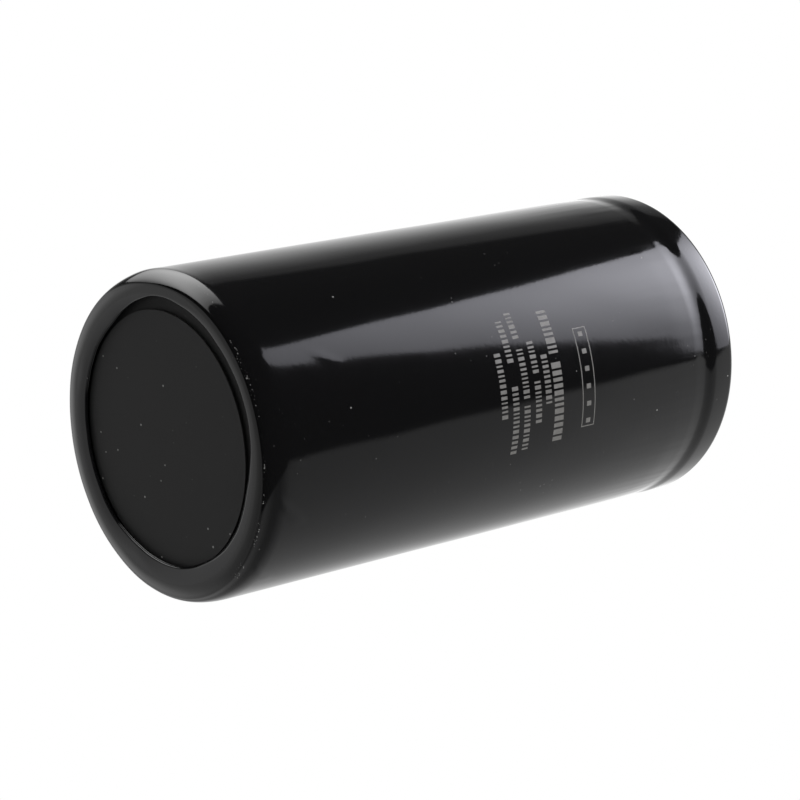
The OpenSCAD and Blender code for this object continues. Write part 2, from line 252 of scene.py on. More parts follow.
class Shop:
    """Builds one node tree."""

    def __init__(self, owner):
        owner.use_nodes = True
        self.tree = owner.node_tree
        self.tree.nodes.clear()

    def node(self, kind, choices=None, values=None, out=0):
        """Adds a node: its settings first, then the values or links of its inputs. Gives a Wire
        from the output named by out, or the node itself where it has no output."""
        made = self.tree.nodes.new("ShaderNode" + kind)
        for key, value in (choices or {}).items():
            if key == "stops":
                self.set_stops(made.color_ramp, value)
            else:
                setattr(made, key, value)
        for key, value in (values or {}).items():
            if isinstance(value, Wire):
                self.tree.links.new(value.socket, made.inputs[key])
            else:
                made.inputs[key].default_value = value
        return Wire(self, made.outputs[out]) if len(made.outputs) else made

    @staticmethod
    def set_stops(ramp, stops):
        """Puts (position, grey) pairs into a colour ramp."""
        while len(ramp.elements) < len(stops):
            ramp.elements.new(0.5)
        for element, (position, grey) in zip(ramp.elements, stops):
            element.position = position
            element.color = (grey, grey, grey, 1.0)

    def scaled(self, vector, by):
        return self.node("VectorMath", {"operation": "SCALE"}, {0: vector, "Scale": by})

    def place(self):
        """Object coordinates in millimetres, as a vector."""
        return self.scaled(self.node("TexCoord", out="Object"), 1 / MM)

    def split(self, vector):
        """The three parts of a vector."""
        parts = self.node("SeparateXYZ", None, {0: vector}).socket.node.outputs
        return [Wire(self, part) for part in parts]

    def join(self, x, y, z):
        return self.node("CombineXYZ", None, {0: x, 1: y, 2: z})

    def dot(self, vector, fixed):
        return self.node("VectorMath", {"operation": "DOT_PRODUCT"},
                         {0: vector, 1: fixed}, out="Value")

    def grain(self, vector, scale, detail=3.0, rough=0.5):
        """Noise around 0.5, with features of about 1/scale."""
        return self.node("TexNoise", None,
                         {"Vector": vector, "Scale": scale, "Detail": detail, "Roughness": rough})

    def specks(self, vector, scale, size):
        """Round specks of a radius given as a share of their spacing."""
        far = self.node("TexVoronoi", {"feature": "F1"},
                        {"Vector": vector, "Scale": scale}, out="Distance")
        return far.step(size, size * 0.6)

    def spot(self, vector, centre, radius):
        """1 within a radius of a point, with a soft edge."""
        far = self.node("VectorMath", {"operation": "DISTANCE"},
                        {0: vector, 1: centre}, out="Value")
        return far.step(radius, radius * 0.6)

    def ramp(self, value, stops):
        return self.node("ValToRGB", {"stops": stops}, {0: value})

    def tint(self, part, a, b):
        """Colour a where the part is 0 and colour b where it is 1."""
        return self.node("Mix", {"data_type": "RGBA"},
                         {0: part, 6: solid(a), 7: solid(b)}, out=2)

    def bump(self, heights, millimetres):
        """A normal from a height between 0 and 1, where 1 stands so many millimetres high."""
        return self.node("Bump", None,
                         {"Height": heights, "Distance": millimetres * MM})

    def finish(self, **inputs):
        """A Principled surface. Names are sockets, with _ for a space."""
        named = {key.replace("_", " "): solid(value) for key, value in inputs.items()}
        surface = self.node("BsdfPrincipled", None, named)
        self.node("OutputMaterial", None, {"Surface": surface})


def solid(value):
    """A colour property as the four numbers that a colour socket takes; others stay as they are."""
    if isinstance(value, (Wire, float, int)):
        return value
    return (*value, 1.0) if len(value) == 3 else value


def shaded(rgb, by):
    """A colour made lighter or darker."""
    return tuple(by * part for part in rgb)


def material(name):
    """A new material and the shop that builds it."""
    made = bpy.data.materials.new(name)
    return made, Shop(made)


# Meshes


def linked(name, data):
    """A new object in the scene that holds some data."""
    made = bpy.data.objects.new(name, data)
    bpy.context.scene.collection.objects.link(made)
    return made


def mesh_object(name, points, faces, finish):
    """An object from an array of points and an array of four-sided faces. A corner that is
    named twice in a row makes the face a triangle, and is dropped."""
    points, faces = np.asarray(points, dtype=np.float32).reshape(-1, 3), np.asarray(faces)
    keep = faces != np.roll(faces, 1, axis=1)
    totals = keep.sum(axis=1)
    data = bpy.data.meshes.new(name)
    data.vertices.add(len(points))
    data.vertices.foreach_set("co", points.ravel())
    data.loops.add(int(totals.sum()))
    data.loops.foreach_set("vertex_index", faces[keep].astype(np.int32))
    data.polygons.add(len(faces))
    data.polygons.foreach_set("loop_start", (np.cumsum(totals) - totals).astype(np.int32))
    data.polygons.foreach_set("use_smooth", np.ones(len(faces), dtype=bool))
    data.update(calc_edges=True)
    data.validate()
    data.materials.append(finish)
    return linked(name, data)


def grid_faces(rows, columns, wrap_rows=False, wrap_columns=True):
    """Faces of a grid whose points are numbered row by row. With rows that go up a side and
    columns that go round it against the clock, they point outwards."""
    i = np.arange(rows if wrap_rows else rows - 1)[:, None]
    j = np.arange(columns if wrap_columns else columns - 1)[None, :]
    up, along = (i + 1) % rows, (j + 1) % columns
    corners = [i * columns + j, i * columns + along, up * columns + along, up * columns + j]
    return np.stack([c.ravel() for c in np.broadcast_arrays(*corners)], axis=1)


def round_angles(count):
    """Angles of so many points round the axis, as one row."""
    return (np.arange(count) * 2 * np.pi / count)[None, :]


def turned(radius, heights, angles):
    """Points of a surface of revolution whose radius and height may change with the angle:
    x is r cos a, y is r sin a and z is the height."""
    radius, heights, angles = np.broadcast_arrays(radius, heights, angles)
    return np.stack([radius * np.cos(angles), radius * np.sin(angles), heights], axis=-1)


def stacked(rows, angles):
    """Radius and height of the rows of a profile, one pair after the other, over the angles. A
    pair holds one row or several, and may or may not change with the angle."""
    spread = [np.broadcast_arrays(radius, heights, angles)[:2] for radius, heights in rows]
    return tuple(np.concatenate(part) for part in zip(*spread))


def sharpen(piece, degrees):
    """Marks the edges that bend more than an angle as sharp."""
    piece.data.set_sharp_from_angle(angle=math.radians(degrees))


def smooth_step(value, low, high):
    """0 below low, 1 above high, and 3 t t - 2 t t t between, where t runs from 0 to 1."""
    t = np.clip((value - low) / (high - low), 0.0, 1.0)
    return t * t * (3 - 2 * t)


def ease(t):
    """A value that runs from 0 to 1 along half a cosine as t does."""
    return (1 - np.cos(np.pi * t)) / 2


def turn_between(a, b):
    """The angle from b to a, between minus and plus half a turn."""
    return (a - b + np.pi) % (2 * np.pi) - np.pi


# Sleeve

# Slow waves of the film: turns round the body, waves per metre up it, phase, share of the height
WAVES = ((3, 9, 0.4, 0.3), (5, -14, 2.1, 0.24), (8, 11, 4, 0.2), (11, -23, 1.2, 0.13),
         (14, 31, 5.3, 0.09), (19, -40, 3.3, 0.05))

# Heights between which the waves and the fine ripples fade in, and those where they fade out
WAVES_IN, WAVES_OUT = (1 * MM, 9 * MM), (128 * MM, 136 * MM)
RIPPLES_IN, RIPPLES_OUT = (100 * MM, 134 * MM), (137 * MM, 140 * MM)

# Creases of the film: angle and height of both ends, half width and height
CREASES = ((-85.5, 4.2, -79, 9.4, 0.9, 0.07), (-68.5, 4.4, -59, 11, 1, 0.08),
           (-115.5, 19.4, -110.5, 24.6, 0.8, 0.045), (-128, 3.2, -121, 6.2, 0.9, 0.05),
           (-40, 3.4, -31, 9.5, 1.1, 0.07), (20, 3, 27, 9, 1, 0.06),
           (95, 3.5, 103, 10, 1.1, 0.08), (160, 3.2, 166, 8, 1, 0.06))

# Swellings of the film over the corner: angle, height, half widths along and up, height
SWELLS = ((-178, 3, 12, 2.2, 0.4), (-160, 3.2, 14, 2.4, 0.3),
          (30, 2.4, 9, 2.4, 0.12), (118, 3, 8, 2.4, 0.15))

# Scuffs on the corner and the side: angle and height of both ends, half width, strength
SCUFFS = ((-119, 0.5, -104, 0.6, 0.3, 1), (-126, 0.8, -119, 0.6, 0.24, 0.8),
          (-104, 0.6, -96, 0.5, 0.22, 0.8), (-91, 0.6, -89.5, 0.6, 0.2, 1),
          (-84, 0.5, -70, 0.5, 0.18, 0.7), (-68.2, 0.6, -67, 0.6, 0.22, 1),
          (-62, 0.5, -50, 0.6, 0.26, 0.9), (-40, 0.5, -32, 0.7, 0.34, 1),
          (-97.8, 5.7, -97.4, 5.9, 0.26, 0.8), (-94.7, 11.3, -94.4, 11.5, 0.2, 0.7),
          (-153, 3.6, -139, 2.2, 0.2, 0.62), (60, 0.9, 71, 0.8, 0.2, 0.65),
          (141, 1, 149, 0.9, 0.2, 0.6))


def along_line(angles, heights, line, radius):
    """How far a place on the side is from a line between two places, and how far along it, both
    in millimetres: the side is unrolled, so that the place is (radius times angle, height)."""
    a0, z0, a1, z1 = line
    x = turn_between(angles, math.radians(a0)) * radius / MM
    y = heights / MM - z0
    run = math.radians(a1 - a0) * radius / MM, z1 - z0
    size = math.hypot(*run)
    along = (x * run[0] + y * run[1]) / size
    return (x * run[1] - y * run[0]) / size, along, size


def film_lift(s, angles, heights):
    """How far the film stands out over its plain shape, in metres. Slow waves are a sum of
    cosines of m a + k z + phase. A crease is a ridge with a shallow furrow beside it: a bell
    curve across its line, times 1 plus the distance over the half width, faded at both ends. A
    swelling is a bell in the angle and the height. Ripples are fast cosines round the body,
    faded in towards the groove and wavering with z."""
    angles, heights = np.broadcast_arrays(angles, heights)
    waves = sum(part * np.cos(turns * angles + 2 * np.pi * per_m * heights + phase)
                for turns, per_m, phase, part in WAVES)
    side = smooth_step(heights, *WAVES_IN) * (1 - smooth_step(heights, *WAVES_OUT))
    lift = s.wave * (1 + waves) * side
    for a0, z0, a1, z1, half, tall in CREASES:
        off, along, size = along_line(angles, heights, (a0, z0, a1, z1), s.body_r)
        ends = smooth_step(along, -2, 1) * (1 - smooth_step(along, size - 1, size + 2))
        lift = lift + tall * MM * (1 + off / half) * np.exp(-(off / half) ** 2) * ends
    for a, z, wide, high, tall in SWELLS:
        off = np.degrees(turn_between(angles, math.radians(a))) / wide
        lift = lift + tall * MM * np.exp(-off ** 2 - ((heights / MM - z) / high) ** 2)
    near = smooth_step(heights, *RIPPLES_IN) * (1 - smooth_step(heights, *RIPPLES_OUT))
    wander = 2.5 * np.cos(7 * angles + 60 * heights) + 1.2 * np.cos(17 * angles + 1.0)
    ripples = (np.cos(67 * angles + wander) + 0.6 * np.cos(103 * angles - 2 * wander)) / 1.6
    return lift + s.ripple * (1 + ripples) * near


def fold_edge(s, angles):
    """Radius and height of the edge of the fold: a circle off the axis, r minus shift times sin
    a, that reaches further in round one angle and less round another, with smooth runs, and
    slightly uneven all round. The edge curls up by a share of 0.6 plus 0.4 sin a."""
    def share_near(middle, inner, outer):
        """1 within so many degrees of the middle, and 0 past so many."""
        off = np.abs(turn_between(angles, middle))
        return 1 - smooth_step(off, math.radians(inner), math.radians(outer))

    flap = share_near(s.flap_at, 22, 58)
    short = share_near(s.short_at, 30, 75)
    uneven = 0.08 * np.cos(5 * angles + 2.0) + 0.05 * np.cos(13 * angles + 0.5)
    uneven = (uneven + 0.03 * np.cos(29 * angles)) * (1 - 0.6 * flap)
    radius = s.fold_r - s.fold_shift * np.sin(angles) - s.flap * flap + s.short * short
    return radius + uneven * MM, s.fold_rise * (0.6 + 0.4 * np.sin(angles))


def sleeve_profile(s, angles):
    """Radius and height of the outside of the sleeve, over rows and angles. From the edge of the
    fold it comes down to the standing ring and rises to the crest as two parabolas, turns the
    corner as a quarter of a superellipse, goes up the side, sinks over the groove and comes back
    along two half cosines, and rolls over the rim as half a circle. The crest moves in along a
    bell of the angle, and the dip's height follows 1 minus its cosine."""
    def rows(stop, count):
        return np.linspace(0, stop, count)[:, None]

    edge_r, edge_z = fold_edge(s, angles)
    crest_r = s.crest_r - s.sag * np.exp(-(turn_between(angles, s.sag_at) / s.sag_wide) ** 2)
    ring_r = edge_r + s.ring_at * (crest_r - edge_r)
    widest = (1 - s.ring_at) * (s.crest_r - s.fold_r)
    crest_z = s.crest_z * ((crest_r - ring_r) / widest) ** 2
    power = 2 / s.corner_power
    dip_z = s.dip_z + s.dip_lean * (1 - np.cos(angles - s.dip_low_at))
    dip_start = dip_z - s.dip_run
    rim_z = s.top - s.rim_round
    tuck = s.tuck * (1 + 0.25 * np.cos(3 * angles + 1) + 0.15 * np.cos(11 * angles))
    fold, ring, corner = rows(1, 7), rows(1, 6)[1:], rows(np.pi / 2, 23)[1:]
    side, dip, back, rim = rows(1, 74)[1:-1], rows(1, 14), rows(1, 11)[1:], rows(np.pi, 17)
    return stacked([
        (edge_r + (ring_r - edge_r) * fold, edge_z * (1 - fold) ** 2),
        (ring_r + (crest_r - ring_r) * ring, crest_z * ring ** 2),
        (crest_r + (s.body_r - crest_r) * np.sin(corner) ** power,
         crest_z + (s.corner_h - crest_z) * (1 - np.cos(corner).clip(0) ** power)),
        (s.body_r, s.corner_h + (dip_start - s.corner_h) * side),
        (s.body_r - s.dip * ease(dip), dip_start + s.dip_run * dip),
        (s.body_r - s.dip + (s.rim_r - s.body_r + s.dip) * ease(back), dip_z + s.dip_return * back),
        (s.rim_r - s.rim_round + s.rim_round * np.cos(rim), rim_z + s.rim_round * np.sin(rim)),
        (s.rim_r - 2 * s.rim_round, rim_z - tuck)], angles)


def beside(radius, heights):
    """Unit steps to the left of a profile, square to the line through each point's neighbours."""
    along_r, along_z = np.gradient(radius, axis=0), np.gradient(heights, axis=0)
    size = np.hypot(along_r, along_z)
    return -along_z / size, along_r / size


def scuff_marks(s, angles, heights):
    """How scuffed the film is at a place: the strongest of the bells across the scuffs' lines."""
    marks = np.zeros(np.broadcast(angles, heights).shape)
    for a0, z0, a1, z1, half, strong in SCUFFS:
        off, along, size = along_line(angles, heights, (a0, z0, a1, z1), s.body_r)
        past = np.maximum(0, np.maximum(-along, along - size))
        marks = np.maximum(marks, strong * np.exp(-(off ** 2 + past ** 2) / half ** 2))
    return marks


# Points round the film, and the rows of its profile where the corner starts, where the straight
# side starts and ends, and where the rim starts
FILM_COLUMNS = 448
CORNER_ROW, SIDE_ROW, SIDE_END, RIM_ROW = 12, 34, 104, 128


def sleeve_mesh(s, finish):
    """The film as one closed wall: its outside, and that profile moved to the left by the
    thickness, with a half-round edge at both ends."""
    angles = round_angles(FILM_COLUMNS)
    radius, heights = sleeve_profile(s, angles)
    left_r, left_z = beside(radius, heights)
    lift = film_lift(s, angles, heights)
    lift = np.minimum(lift, (s.rim_r - radius) / np.maximum(-left_r, 0.2))
    radius, heights = radius - left_r * lift, np.maximum(heights - left_z * lift, 0.0)
    left_r, left_z = beside(radius, heights)

    # The inside is hidden, so it keeps one row in six along the straight side, and one in two at
    # the corner and over the groove
    rows = np.arange(len(radius))
    every = np.where((rows > CORNER_ROW) & (rows < RIM_ROW), 2, 1)
    every[(rows > SIDE_ROW) & (rows < SIDE_END)] = 6
    inside = rows[rows % every == 0][::-1]
    inner_r = radius[inside] + s.wall * left_r[inside]
    inner_z = heights[inside] + s.wall * left_z[inside]

    def end(row, way):
        """Three points of the half circle that closes the film at one end of the profile."""
        turn = np.radians([135, 90, 45])[:, None]
        half = s.wall / 2
        across, out = half * (1 - way * np.cos(turn)), way * half * np.sin(turn)
        return (radius[row] + across * left_r[row] + out * left_z[row],
                heights[row] + across * left_z[row] - out * left_r[row])

    top_r, top_z = end(-1, -1)
    fold_r, fold_z = end(0, 1)
    all_r = np.concatenate([radius, top_r, inner_r, fold_r])
    all_z = np.concatenate([heights, top_z, inner_z, fold_z])
    made = mesh_object("sleeve_film", turned(all_r, all_z, angles),
                       grid_faces(*all_r.shape, wrap_rows=True), finish)
    outside = np.zeros(all_r.shape)
    outside[:len(radius)] = scuff_marks(s, angles, heights)
    marks = made.data.attributes.new("scuff", "FLOAT", "POINT")
    marks.data.foreach_set("value", outside.ravel().astype(np.float32))
    return made


def sleeve_material(s):
    """Black shrunk film: glossy, finely uneven, with thin dust and rubbed places."""
    made, shop = material("shrunk_film")
    at = shop.place()
    rubbed = shop.node("Attribute", {"attribute_name": "scuff"}, out="Fac")
    torn = shop.grain(at, 1.5, 4.0, 0.7)
    scuff = rubbed.step(0.15, 0.7) * torn.step(0.36, 0.6) * shop.specks(at, 1.9, 0.3)
    patches = shop.grain(at, 0.09, 2.0).step(0.5, 0.76)
    fine = shop.specks(at, 0.42, 0.09) * patches
    rare = shop.specks(at, 0.07, 0.018)
    dust = (fine * 0.3).over(rare * 0.6).over(scuff)
    clouds = shop.grain(at, 0.35, 3.0, 0.6)
    rough = (s.gloss - 0.02) + 0.04 * clouds
    peel = shop.grain(at, 1.1, 2.0, 0.45)
    shop.finish(Base_Color=shop.tint(dust, s.film, s.dust), Roughness=rough + dust * 0.45,
                Normal=shop.bump(peel, 0.004))
    return made


# Rating print

# Rows of the print: height of the middle, height as a share of a plain row, and the start and
# end of each group of marks in degrees
ROWS = ((87.5, 1.55, ((-114, -97.5), (-95, -66.5))),
        (84.2, 1, ((-98.5, -80.5),)),
        (80.9, 1, ((-104, -92), (-89.8, -75))),
        (77.2, 1, ((-115.5, -104.5), (-102, -84.5), (-82, -65.5))),
        (73.7, 1, ((-113, -97.5), (-89.5, -64.5))),
        (70.1, 1, ((-102, -77.5),)))

# The outlined field over them: lower and upper height, start and end in degrees, line width
FIELD = (95.2, 99.4, -105.5, -69.5, 0.26)

# The squares in that field: how many, how wide, and how far the first and the last one stand
# from its ends, in line widths
SQUARES, SQUARE_W, SQUARES_START, SQUARES_END = 6, 4.5, 4, 8

# Narrowest and widest mark of a plain row
MARK_WIDTHS = (0.35, 0.95)


def print_marks(p, body_r):
    """Places of all marks as rows of start angle, end angle, lower and upper height, in radians
    and metres. Each group of a row is filled with plain upright blocks of uneven width."""
    series = np.random.default_rng(p.seed)
    low, high, start, end, line = FIELD
    thin = math.degrees(line * MM / body_r)
    marks = [(start, end, low, low + line), (start, end, high - line, high),
             (start, start + thin, low, high), (end - thin, end, low, high)]
    third = (high - low) / 3
    for a in np.linspace(start + SQUARES_START * thin, end - SQUARES_END * thin, SQUARES):
        marks.append((a, a + SQUARE_W * thin, low + third, high - third))
    gap = math.degrees(p.gap / body_r)
    for middle, tall, groups in ROWS:
        half = p.row_h / MM * tall / 2
        for start, end in groups:
            a = start
            while a < end - gap:
                wide = math.degrees(series.uniform(*MARK_WIDTHS) * tall * MM / body_r)
                marks.append((a, min(a + wide, end), middle - half, middle + half))
                a += wide + gap
    marks = np.array(marks)
    return np.concatenate([np.radians(marks[:, :2]), marks[:, 2:] * MM], axis=1)


def print_mesh(p, s, finish):
    """Thin closed slabs that follow the film. A slab is a loop of four points, low and high on
    the outside and high and low just under the film, carried along the angle in equal steps and
    closed by a face at each end."""
    marks = print_marks(p, s.body_r)
    steps = 25
    start, end, low, high = (marks[:, i, None, None] for i in range(4))
    angles = start + (end - start) * np.linspace(0, 1, steps)
    corner = np.arange(4)[:, None]
    heights = np.where((corner == 0) | (corner == 3), low, high)
    radius = s.body_r + film_lift(s, angles, heights) + np.where(corner < 2, p.lift, -p.lift)
    sides = grid_faces(4, steps, wrap_rows=True, wrap_columns=False)
    lids = np.array([[0, 1, 2, 3], [3, 2, 1, 0]]) * steps + np.array([[0], [steps - 1]])
    offsets = (4 * steps * np.arange(len(marks)))[:, None, None]
    faces = np.concatenate([sides, lids]) + offsets
    made = mesh_object("rating_print", turned(radius, heights, angles), faces.reshape(-1, 4),
                       finish)
    sharpen(made, 40)
    return made


def print_material(p):
    """Pale ink, slightly worn."""
    made, shop = material("ink")
    worn = shop.grain(shop.place(), 1.3, 3.0, 0.6)
    shop.finish(Base_Color=shop.tint(worn.step(0.3, 0.75), shaded(p.ink, 0.8), p.ink),
                Roughness=0.38 + 0.15 * worn)
    return made


# Closed end

# Dust on the disc: x, y and radius in millimetres
DUST = ((-12.1, -2.2, 0.3), (-19.4, 19.9, 0.22), (-16.5, 15, 0.26), (-3.3, 8.6, 0.3),
        (-1.7, 25.2, 0.24), (2.5, 19.3, 0.26), (3, 24.3, 0.22), (6, 1.4, 0.24),
        (9.6, 3.8, 0.22), (9.2, 27.1, 0.26), (13.4, 11.1, 0.3), (20.3, -11.7, 0.3),
        (21.3, -19.7, 0.24), (24.4, -12.7, 0.34), (27.3, 7.7, 0.26))


def board_material(b):
    """Dark matte board: very fine fibres, faint clouds and a few flecks of dust. Above a height of
    about 1.15 mm, the step round it is painted darker, as painted shade in that recess."""
    made, shop = material("matte_board")
    at = shop.place()
    x, y, z = shop.split(at)
    fibres = shop.grain(at, 2.6, 4.0, 0.65)
    clouds = shop.grain(at, 0.07, 2.0, 0.5)
    flat = shop.join(x, y, 0.0)
    dust = shop.specks(at, 0.30, 0.055) * 0.25
    for px, py, size in DUST:
        dust = dust.over(shop.spot(flat, (px, py, 0.0), size))
    # Painted shade: the recessed step round the disc is darkened by height to stand in for its
    # shade. The clouds are the board's own uneven tone.
    painted_shade_and_clouds = (0.9 + 0.2 * clouds) * (1.0 - 0.8 * z.step(1.15, 1.5))
    board = shop.tint(fibres.step(0.35, 0.7), shaded(b.board, 0.93), shaded(b.board, 1.07))
    shop.finish(Base_Color=shop.tint(dust * 0.5, shop.scaled(board, painted_shade_and_clouds), (0.34, 0.34, 0.33)),
                Roughness=b.rough + 0.1 * fibres, Normal=shop.bump(fibres, 0.03),
                Specular_IOR_Level=b.sheen)
    return made


# Metal, rubber, moulding, paper


def alloy_material(name, c, rough, scale, lines):
    """Bare aluminium: a cloudy sheen, with drawn or turned lines as fine bumps. The lines lie
    across the axis where lines is Z, and round each terminal where it is ROUND."""
    made, shop = material(name)
    at = shop.place()
    x, y, z = shop.split(at)
    if lines == "ROUND":
        off = abs(x) - settings().terminal.x / MM
        far = (off * off + y * y) ** 0.5
        along = shop.join(far, 0.0, 0.0)
    else:
        along = shop.join(x * 0.02, y * 0.02, z)
    streaks = shop.grain(along, scale, 2.0, 0.6)
    clouds = shop.grain(at, 0.25, 3.0, 0.6)
    tone = shop.tint(clouds.step(0.35, 0.7), shaded(c.alloy, 0.86), c.alloy)
    shop.finish(Base_Color=tone, Metallic=1.0, Roughness=rough + 0.12 * clouds,
                Normal=shop.bump(streaks, 0.006))
    return made


def moulding_material(c):
    """Filled phenolic moulding: a satin skin with a faint grain and fine pale specks of dust."""
    made, shop = material("moulding")
    at = shop.place()
    grain = shop.grain(at, 1.8, 3.0, 0.6)
    clouds = shop.grain(at, 0.12, 2.0)
    dust = shop.specks(at, 0.35, 0.05) * 0.4
    base = shop.tint(clouds, shaded(c.moulding, 0.8), shaded(c.moulding, 1.3))
    shop.finish(Base_Color=shop.tint(dust, base, (0.3, 0.3, 0.29)),
                Roughness=0.36 + 0.12 * clouds, Normal=shop.bump(grain, 0.012))
    return made


def grained_material(name, low, high, grain, rough, depth=0.0):
    """One noise that runs between two colours, dulls the surface and, with a depth, is a bump."""
    made, shop = material(name)
    noise = shop.grain(shop.place(), *grain)
    normal = {"Normal": shop.bump(noise, depth)} if depth else {}
    shop.finish(Base_Color=shop.tint(noise, low, high), Roughness=rough + 0.15 * noise, **normal)
    return made


def roll_material():
    """Edges of paper and foil in one roll: fine rings round the axis, damp and uneven."""
    made, shop = material("paper_roll")
    x, y, z = shop.split(shop.place())
    far = (x * x + y * y) ** 0.5
    rings = shop.grain(shop.join(far, 0.0, z * 0.03), 3.5, 3.0, 0.7)
    shop.finish(Base_Color=shop.tint(rings.step(0.3, 0.7), (0.46, 0.41, 0.30), (0.66, 0.62, 0.50)),
                Roughness=0.75, Normal=shop.bump(rings, 0.08))
    return made


def dress(finish, *nodes):
    """Puts a material in the slots of CAD nodes."""
    for node in nodes:
        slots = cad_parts[node].data.materials
        for i in range(len(slots)):
            slots[i] = finish


# Terminals


# Width and height of the bevels at the mouth of the thread and at the riveted end, and the
# heights over the bottom of the hole between which the thread fades in
MOUTH_W, MOUTH_H, HEAD_W, HEAD_H = 0.12 * MM, 0.45 * MM, 0.4 * MM, 0.3 * MM
FADE_LOW, FADE_HIGH = 0.8 * MM, 1.6 * MM


def terminal_mesh(t, name, x, finish):
    """One terminal, as radius and height over rows and angles round its own axis. Over the
    bottom of its hole a thread winds up: r is the core plus the depth times a tooth in
    z / pitch minus the turn, faded in. Outside, the hexagon's radius is half its width over
    cos of the angle from the middle of a flat."""
    columns, bore_rows = 96, 88
    angles = round_angles(columns)
    hole_z = t.top - t.depth
    z = np.linspace(hole_z, t.top - MOUTH_H, bore_rows)[1:, None]
    wave = np.abs(2 * ((z / t.pitch - angles / (2 * np.pi)) % 1) - 1)
    tooth = smooth_step(wave, 0.12, 0.88) * smooth_step(z, hole_z + FADE_LOW, hole_z + FADE_HIGH)
    hexagon = t.anchor_af / 2 / np.cos((angles + np.pi / 6) % (np.pi / 3) - np.pi / 6)
    anchor_z = t.anchor_top - t.anchor_h
    head_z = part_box("positive_terminal")[0][2]
    rows = [(0, hole_z), (t.core_r, hole_z), (t.core_r + t.thread * tooth, z),
            (t.core_r + t.thread + MOUTH_W, t.top), (t.pad_r - t.chamfer, t.top),
            (t.pad_r, t.top - t.chamfer), (t.pad_r, t.anchor_top), (hexagon, t.anchor_top),
            (hexagon, anchor_z), (t.shank_r, anchor_z), (t.shank_r, t.shank_z),
            (t.rivet_r, t.shank_z), (t.rivet_r, head_z + t.head_h), (t.head_r, head_z + t.head_h),
            (t.head_r, head_z + HEAD_H), (t.head_r - HEAD_W, head_z), (0, head_z)]
    radius, heights = (part[::-1] for part in stacked(rows, angles))
    points = turned(radius, heights, angles)
    points[..., 0] += x
    # The first and the last row shrink to one point each, and the points left over are dropped
    faces = grid_faces(*radius.shape)
    last = radius.size - 1
    faces = np.where(faces < columns, 0, np.where(faces > last - columns, last, faces))
    used, faces = np.unique(faces, return_inverse=True)
    made = mesh_object(name, points.reshape(-1, 3)[used], faces.reshape(-1, 4), finish)
    sharpen(made, 38)
    return made


# How far a mark reaches into the deck, and how much narrower a half bar is at its top
MARK_SUNK, MARK_DRAFT = 0.2 * MM, 0.08 * MM


def bar_mark(name, x, y, z, arms, c, finish):
    """A raised mark of bars that cross at its middle. The outline of a bar is a rectangle, and
    the outline of two is the twelve corners of a cross; both are carried up, with a draft."""
    a, b = c.mark / 2, c.mark_bar / 2
    if arms == 2:
        corners = [(a, -b), (a, b), (b, b), (b, a), (-b, a), (-b, b), (-a, b), (-a, -b), (-b, -b),
                   (-b, -a), (b, -a), (b, -b)]
    else:
        corners = [(a, -b), (a, b), (-a, b), (-a, -b)]
    outline = np.array(corners)[None]
    count = len(corners)
    scale = np.array([1, 1, 1 - MARK_DRAFT / b])[:, None, None]
    levels = np.array([z - MARK_SUNK, z, z + c.mark_h])[:, None, None]
    points = np.concatenate([outline * scale + (x, y), levels + 0 * outline[..., :1]], axis=2)
    polygons = grid_faces(3, count).tolist()
    polygons += [list(range(2 * count, 3 * count)), list(range(count))[::-1]]
    made = bpy.data.meshes.new(name)
    made.from_pydata(points.reshape(-1, 3).tolist(), [], polygons)
    made.materials.append(finish)
    return linked(name, made)


# Stage

# Where the camera stands and looks: right, up and backward directions, and its place in metres
CAMERA_RIGHT = (0.13082, -0.64266, 0.75490)
CAMERA_UP = (-0.98691, -0.01200, 0.16081)
CAMERA_BACK = (-0.09428, -0.76605, -0.63582)
CAMERA_PLACE = (-0.061776, -0.521852, -0.362328)

# What polished pieces mirror of the table: the plane through the middle that bounds it, the
# direction in which it is brightest, and the one that parts its two halves
TABLE_EDGE = (0.672, 0.632, 0.386)
FAR_SIDE = (0.1219, 0.9925, 0.0)
NEAR_RIGHT = (0.9925, -0.1219, 0.0)

# The cards that they mirror: name, one corner in millimetres, the directions of the two edges
# that start there, the lengths of those edges, how far the glow reaches along both, the level
# of the card's edge and of the glow over it, and its colour
CARDS = (("softbox", (-554.8, -536.2, 468.1), (0.834, -0.25031, 0.49171),
          (-0.18355, 0.7377, 0.6497), (864, 814), (352, 253), 1.3, 11.2,
          (0.97, 0.97, 1.06)),
         ("reflector", (-149, 230.8, -150), (-0.617, -0.78696, 0),
          (0, 0, 1), (330, 312), (140, 220), 0.2, 4.2, (1, 1, 1)))

# The lamp: width and height, place in metres, and turns about Z and X in degrees
LAMP_SIZE, LAMP_PLACE, LAMP_TURN, LAMP_TILT = (0.9, 0.6), (-0.75, -0.75, 1.25), -45, 40


